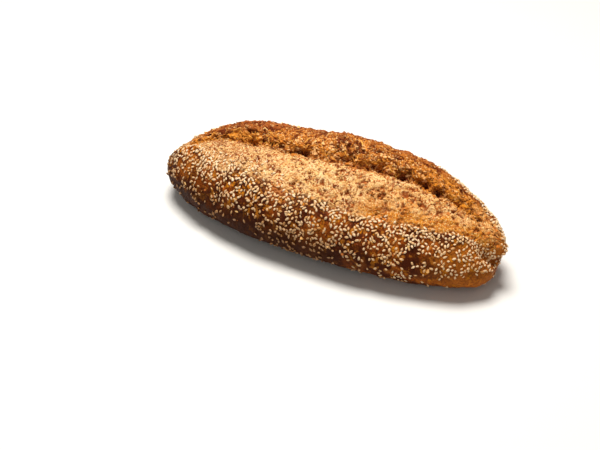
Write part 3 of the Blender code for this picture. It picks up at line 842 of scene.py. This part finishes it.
def bran_mesh(skin):
    """Thin chips of bran and flour grains pressed into the slab, and a few elsewhere: flat dented drops."""
    rng = np.random.default_rng(23)
    zones = skin.zones
    weight = zones["slab"] + 0.20 * zones["burst"] + 0.06 * zones["seeded"]
    clusters = (0.7 + 0.7 * smooth_noise(skin.points, 0.008, 221)).clip(0.08)
    weight = weight * clusters * ramp(skin.points[..., 2], 0.02, 0.04)
    middles, normals, at = skin.draw(rng, weight, BRAN_FLAKES)
    length = rng.gamma(5.5, 0.00034, BRAN_FLAKES).clip(0.0008, 0.0040)
    width = length * rng.uniform(0.35, 0.75, BRAN_FLAKES)
    thickness = rng.uniform(0.00035, 0.00080, BRAN_FLAKES)
    size = np.stack([length, width, thickness], -1)
    local, faces = dented_drops(rng, size, ((-0.24, 0.46), (0.22, 0.42)), 0.22)
    axes = lying_frames(normals, rng, 0.20, along=0.5)
    corners = laid(local, axes, middles + normals * 0.00005)
    tones = skin.sampled(at, ("warmth", "thin"))
    tones["shade"] = rng.random(BRAN_FLAKES)
    return scattered_mesh("bran_flakes", faces, corners, tones, smooth=False)


class Term:
    """A socket of a material. Its Python operators, in both orders, add Math nodes."""

    def __init__(self, finish, socket):
        self.finish = finish
        self.socket = socket

    def maths(self, operation, *values):
        """One Math node on these values."""
        return self.finish.node("ShaderNodeMath", {"operation": operation}, dict(enumerate(values)))

    def __add__(self, other):
        return self.maths("ADD", self, other)

    def __sub__(self, other):
        return self.maths("SUBTRACT", self, other)

    def __rsub__(self, other):
        return self.maths("SUBTRACT", other, self)

    def __mul__(self, other):
        return self.maths("MULTIPLY", self, other)

    __radd__ = __add__
    __rmul__ = __mul__

    def ramp(self, start, end):
        """0 at start, 1 at end, smooth between them, and start may lie above end."""
        return self.finish.node(
            "ShaderNodeMapRange", {"interpolation_type": "SMOOTHSTEP"},
            {"Value": self, "From Min": start, "From Max": end},
        )


class Finish:
    """A material under construction."""

    def __init__(self, name, specular=None):
        """A new material with its shader, and the strength of its gloss where that isn't the usual one."""
        self.material = bpy.data.materials.new(name)
        self.material.use_nodes = True
        self.tree = self.material.node_tree
        self.shader = self.tree.nodes["Principled BSDF"]
        if specular is not None:
            self.shader.inputs["Specular IOR Level"].default_value = specular

    def node(self, kind, settings, inputs, out=0):
        """Adds a node, with its settings set first and then the values or links of its sockets."""
        made = self.tree.nodes.new(kind)
        for name, value in settings.items():
            setattr(made, name, value)
        for name, value in inputs.items():
            self.feed(made.inputs[name], value)
        return Term(self, made.outputs[out])

    def feed(self, socket, value):
        """Links a term to a socket, or sets the socket's own value."""
        if isinstance(value, Term):
            self.tree.links.new(value.socket, socket)
        else:
            socket.default_value = value

    def attributes(self, *names):
        """The piece's own attributes of these names."""
        return [self.node("ShaderNodeAttribute", {"attribute_name": name}, {}, "Fac") for name in names]

    def noise(self, per_metre, detail):
        """Noise with this many cells to a metre, on Object coordinates."""
        place = self.node("ShaderNodeTexCoord", {}, {}, "Object")
        inputs = {"Vector": place, "Scale": per_metre, "Detail": detail, "Roughness": 0.55}
        return self.node("ShaderNodeTexNoise", {}, inputs, "Fac")

    def blend(self, share, first, second):
        """A colour share of the way from the first to the second."""
        inputs = {0: share, 6: colour(first), 7: colour(second)}
        return self.node("ShaderNodeMix", {"data_type": "RGBA"}, inputs, 2)

    def layered(self, base, *layers):
        """A base colour under layers laid on in turn, each given as its share and its colour."""
        for share, tint in layers:
            base = self.blend(share, base, tint)
        return base

    def done(self, base, roughness, height, distance):
        """The finished material, with its colour, its roughness and a bump of this greatest height."""
        self.feed(self.shader.inputs["Base Color"], base)
        self.feed(self.shader.inputs["Roughness"], roughness)
        bump = {"Strength": 1.0, "Distance": distance, "Height": height}
        self.feed(self.shader.inputs["Normal"], self.node("ShaderNodeBump", {}, bump, "Normal"))
        return self.material


def colour(value):
    """A term as it is, or the shader's linear colour for a colour given in screen values from 0 to 255."""
    if isinstance(value, Term):
        return value
    share = np.array(value) / 255
    linear = np.where(share <= 0.04045, share / 12.92, ((share + 0.055) / 1.055) ** 2.4)
    return (*linear.tolist(), 1.0)


def torn_colour(finish, base, strength=1.0):
    """Torn crumb of this base colour: painted shade in hollows and deep in the score, and redder on top of
    the ridge.
    """
    hollow, split, crown, warmth = finish.attributes("hollow", "split", "crown", "warmth")
    return finish.layered(
        base,
        (warmth * (0.60 * strength), GOLDEN_CRUMB),
        (crown * (0.70 * strength), CROWN_BROWN),
        # Painted shade in hollows
        (hollow.ramp(-0.20, 0.42) * (0.95 * strength), CRUMB_PAINTED_HOLLOW_SHADE),
        # Painted shade deep in the score
        (split * 0.88, SPLIT_PAINTED_SHADE),
    )


def crust_finish():
    """Baked skin, floury slab and torn burst in one finish, laid out by the skin's own zones."""
    finish = Finish("baked_crust", specular=0.06)
    slab, burst, hollow, warmth = finish.attributes("slab", "burst", "hollow", "warmth")
    low, dust, rust, thin = finish.attributes("low", "dust", "rust", "thin")
    broad = finish.noise(48, 3)
    middling = finish.noise(150, 3)
    small = finish.noise(290, 3)
    fine = finish.noise(540, 3)
    grit = finish.noise(980, 2)

    skin = finish.layered(
        finish.blend(broad.ramp(0.46, 0.58), DARK_BAKE, BROWN_BAKE),
        (warmth * 0.78, WARM_BAKE),
        (middling.ramp(0.56, 0.64), OCHRE_BLOTCH),
        (fine.ramp(0.56, 0.42) * (0.60 - 0.28 * warmth), DARK_SPECK),
        (grit.ramp(0.54, 0.64) * 0.55, BROWN_GRAIN),
        (small.ramp(0.57, 0.64) * 0.45, PALE_BLISTER),
        # Painted shade in the skin's hollows
        (hollow.ramp(0.05, 0.45) * 0.6, SKIN_PAINTED_HOLLOW_SHADE),
        # Painted shade toward the foot
        (low * 0.92, FOOT_PAINTED_SHADE),
        (dust * fine.ramp(0.42, 0.56) * 0.80, STRAY_FLOUR),
    )
    flour = finish.layered(
        finish.blend(middling.ramp(0.36, 0.62), FLOUR_SHADE, FLOUR_LIGHT),
        (thin * 0.80, THIN_FLOUR),
        (thin * fine.ramp(0.56, 0.49) * 0.84, THIN_SPECK),
        (warmth * 0.92, GOLDEN_CRUST),
        (small.ramp(0.59, 0.63) * 0.70, BRAN_BLOT),
        (fine.ramp(0.48, 0.42) * (0.74 - 0.30 * warmth), BRAN_SPECK),
        # Pale flour grains, partly painted glints
        (grit.ramp(0.54, 0.60) * (0.72 - 0.22 * warmth), FLOUR_GRAIN_AND_GLINT),
        (rust * 0.88, RUST_BROWN),
        # Painted shade in the slab's hollows
        (hollow.ramp(0.14, 0.45) * (0.70 - 0.35 * warmth), SLAB_PAINTED_HOLLOW_SHADE),
    )
    crumb = finish.layered(
        finish.blend(middling.ramp(0.38, 0.60), DARK_CRUMB, BROWN_CRUMB),
        (fine.ramp(0.50, 0.60), PALE_CRUMB),
        # Painted shade in the crumb's pores and painted glints on its grit
        (grit.ramp(0.47, 0.40) * 0.7, CRUMB_PORE_PAINTED_SHADE),
        (grit.ramp(0.57, 0.64) * 0.5, CRUMB_PAINTED_GLINT),
    )
    base = finish.layered(skin, (slab, flour), (burst, torn_colour(finish, crumb)))
    roughness = 0.58 + 0.28 * slab + 0.24 * burst
    return finish.done(base, roughness, fine * 0.6 + grit * 0.4, 0.0010)


def nugget_finish():
    """Flakes in three families: red-brown, golden and pale tan, with painted shade where they lie in hollows
    and deep in the score.
    """
    finish = Finish("toasted_crumb", specular=0.2)
    shade = finish.attributes("shade")[0]
    fine = finish.noise(900, 3)
    base = finish.layered(
        finish.blend(shade.ramp(0.29, 0.36), RED_FLAKE, GOLDEN_FLAKE),
        (shade.ramp(0.60, 0.66), TAN_FLAKE),
        (fine.ramp(0.60, 0.40) * 0.4, FLAKE_FLECK),
    )
    return finish.done(torn_colour(finish, base, 0.70), 0.75, fine, 0.0006)


def strand_finish():
    """Torn strings of crumb: golden and a little glossy."""
    finish = Finish("golden_strands", specular=0.3)
    shade = finish.attributes("shade")[0]
    fine = finish.noise(900, 3)
    base = finish.blend(shade, DARK_STRAND, GOLDEN_STRAND)
    return finish.done(torn_colour(finish, base), 0.6, fine, 0.0005)


def sesame_finish():
    """Hulled sesame: cream, a few toasted, with painted shade toward the foot, and a soft oily sheen."""
    finish = Finish("sesame", specular=0.3)
    shade, toast, low = finish.attributes("shade", "toast", "low")
    fine = finish.noise(900, 2)
    base = finish.layered(
        finish.blend(shade, SEED_SHADE, SEED_CREAM),
        (toast, SEED_TOAST),
        # Painted shade toward the foot
        (low * 0.92, SEED_PAINTED_SHADE),
        (fine.ramp(0.62, 0.38) * 0.45, SEED_FLECK),
    )
    finish.shader.inputs["Subsurface Weight"].default_value = 0.10
    finish.shader.inputs["Subsurface Radius"].default_value = (0.0008, 0.0005, 0.0003)
    return finish.done(base, 0.45, fine, 0.0002)


def bran_finish():
    """Chips in three families: red-brown bran, orange-brown husk and pale floury grains."""
    finish = Finish("bran", specular=0.2)
    shade, warmth, thin = finish.attributes("shade", "warmth", "thin")
    fine = finish.noise(900, 2)
    base = finish.layered(
        finish.blend(shade.ramp(0.16, 0.26), RED_BRAN, BROWN_HUSK),
        (shade.ramp(0.45, 0.55), PALE_GRAIN),
        (warmth * 0.80, GOLDEN_HUSK),
        (thin * 0.45, THIN_GRAIN),
        (fine.ramp(0.6, 0.4) * 0.3, BRAN_FLECK),
    )
    return finish.done(base, 0.75, fine, 0.0003)


def show(name, mesh, material):
    """Puts a finished mesh into the scene, riding with the loaf."""
    piece = bpy.data.objects.new(name, mesh)
    bpy.context.scene.collection.objects.link(piece)
    mesh.materials.append(material)
    mesh.transform(Matrix.Translation(CENTRING))
    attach(piece, "root")
    return piece


def make_loaf():
    """The crust in the solid's place, and the four kinds of small things that lie on it."""
    points, zones = loaf_points(ring_places(RINGS), STEPS_ROUND)
    skin = Skin(points, zones)
    crust = show("crust", closed_skin("crust", points, zones), crust_finish())
    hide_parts("loaf")
    show("crumb_nuggets", nugget_mesh(skin), nugget_finish())
    show("crumb_strands", strand_mesh(skin), strand_finish())
    show("bran_flakes", bran_mesh(skin), bran_finish())
    show("sesame_seeds", sesame_mesh(skin), sesame_finish())


def make_floor():
    """A plain pale floor that runs far past the view."""
    reach = FLOOR_REACH
    corners = np.array([(-reach, -reach, 0), (reach, -reach, 0), (reach, reach, 0), (-reach, reach, 0)])
    mesh = mesh_from_arrays("floor", corners, np.array([[0, 1, 2, 3]]), np.zeros((0, 3), int))
    floor = bpy.data.objects.new("floor", mesh)
    bpy.context.scene.collection.objects.link(floor)
    finish = Finish("pale_floor")
    finish.shader.inputs["Base Color"].default_value = colour(FLOOR_COLOUR)
    finish.shader.inputs["Roughness"].default_value = FLOOR_ROUGHNESS
    mesh.materials.append(finish.material)


def add_lamp(name, place, size, watts, tint):
    """A round lamp of this width, turned so that it shines at the loaf."""
    light = bpy.data.lights.new(name, "AREA")
    light.shape = "DISK"
    light.size = size
    light.energy = watts
    light.color = tint
    lamp = bpy.data.objects.new(name, light)
    bpy.context.scene.collection.objects.link(lamp)
    lamp.location = place
    aim = np.array(LAMP_TARGET) - np.array(place)
    heading = np.arctan2(aim[0], -aim[1])
    lamp.rotation_euler = (np.arctan2(np.hypot(aim[0], aim[1]), -aim[2]), 0, heading + np.pi)


def make_light():
    """A large soft lamp above and a little behind the loaf, a weak one in front, and a pale sky."""
    add_lamp("key_lamp", **KEY_LAMP)
    add_lamp("fill_lamp", **FILL_LAMP)
    world = bpy.data.worlds.new("pale_sky")
    bpy.context.scene.world = world
    world.use_nodes = True
    background = world.node_tree.nodes["Background"]
    background.inputs["Color"].default_value = SKY_COLOUR
    background.inputs["Strength"].default_value = SKY_STRENGTH
    bpy.context.scene.view_settings.view_transform = "Standard"


def make_camera():
    """The camera at the photograph's place, angle and lens."""
    camera = bpy.data.objects.new("camera", bpy.data.cameras.new("camera"))
    bpy.context.scene.collection.objects.link(camera)
    camera.location = CAMERA_PLACE
    camera.rotation_euler = (np.radians(CAMERA_TILT), 0, np.radians(CAMERA_TURN))
    camera.data.lens = CAMERA_LENS
    camera.data.clip_start = CAMERA_NEAR_CLIP
    bpy.context.scene.camera = camera


make_camera()
make_loaf()
make_floor()
make_light()
